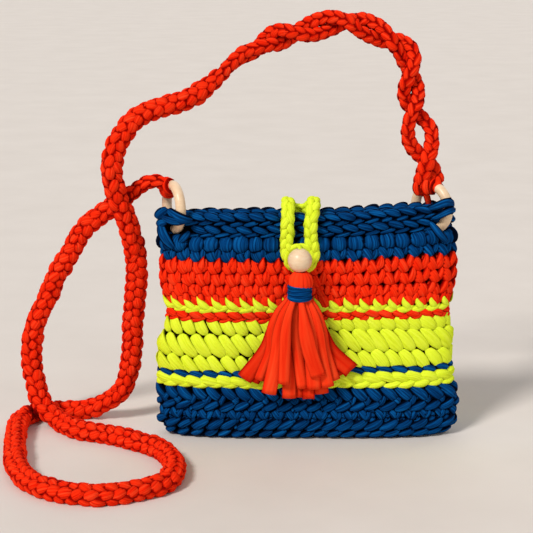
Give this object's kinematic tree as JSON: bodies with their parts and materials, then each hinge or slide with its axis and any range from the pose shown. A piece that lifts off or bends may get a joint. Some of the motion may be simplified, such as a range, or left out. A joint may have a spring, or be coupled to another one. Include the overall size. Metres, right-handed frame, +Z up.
{
  "type": "crossbody bag",
  "caption": "Flat crocheted crossbody bag in banded jersey yarn with wooden ring lugs, a loop and bead closure with a fan tassel, and a long cord strap.",
  "frame": {"origin": "middle of the flat base, on the surface the bag stands on", "axes": "+Z up towards the mouth, -Y towards the front with the bead and tassel, +X to the right seen from the front"},
  "size_m": [0.384, 0.2146, 0.3598],
  "materials": {
    "navy_yarn": "matt jersey yarn",
    "red_yarn": "matt jersey yarn",
    "yellow_yarn": "matt jersey yarn",
    "pale_wood": "satin varnish"
  },
  "bodies": {
    "bag": {"navy_base": "navy_yarn", "yellow_chain_stripe": "yellow_yarn", "navy_line_stripe": "navy_yarn", "yellow_band": "yellow_yarn", "red_chain_stripe": "red_yarn", "yellow_spike_stripe": "yellow_yarn", "red_band": "red_yarn", "navy_top_band": "navy_yarn", "ring_tab_left": "navy_yarn", "ring_tab_right": "navy_yarn", "closure_loop": "yellow_yarn", "strap_end_left": "red_yarn", "strap_end_right": "red_yarn", "strap_run": "red_yarn", "strap_twist": "red_yarn", "strap_tail": "red_yarn"},
    "left_ring": {"ring_left": "pale_wood"},
    "right_ring": {"ring_right": "pale_wood"},
    "tassel": {"bead_cord": "yellow_yarn", "tassel_head": "red_yarn", "tassel_wrap": "navy_yarn", "tassel_strip_01": "red_yarn", "tassel_strip_02": "red_yarn", "tassel_strip_03": "red_yarn", "tassel_strip_04": "red_yarn", "tassel_strip_05": "red_yarn", "tassel_strip_06": "red_yarn", "tassel_strip_07": "red_yarn", "tassel_strip_08": "red_yarn", "tassel_strip_09": "red_yarn", "tassel_strip_10": "red_yarn", "tassel_strip_11": "red_yarn", "tassel_strip_12": "red_yarn", "tassel_strip_13": "red_yarn", "tassel_strip_14": "red_yarn", "tassel_strip_15": "red_yarn"},
    "bead": {"bead": "pale_wood"}
  },
  "joints": [
    {"name": "left_ring_turn", "type": "hinge", "parent": "bag", "child": "left_ring", "pos_m": [-0.1115, 0, 0.1985], "axis": [0.9272, 0.3746, 0], "continuous": true},
    {"name": "right_ring_turn", "type": "hinge", "parent": "bag", "child": "right_ring", "pos_m": [0.105, 0, 0.1985], "axis": [0.7547, 0.6561, 0], "continuous": true},
    {"name": "tassel_swing", "type": "hinge", "parent": "bag", "child": "tassel", "pos_m": [-0.0063, -0.0363, 0.177], "axis": [0, 1, 0], "range_deg": [-30, 30]},
    {"name": "bead_spin", "type": "hinge", "parent": "tassel", "child": "bead", "pos_m": [-0.0063, -0.0363, 0.161], "axis": [0, 0, 1], "continuous": true}
  ]
}
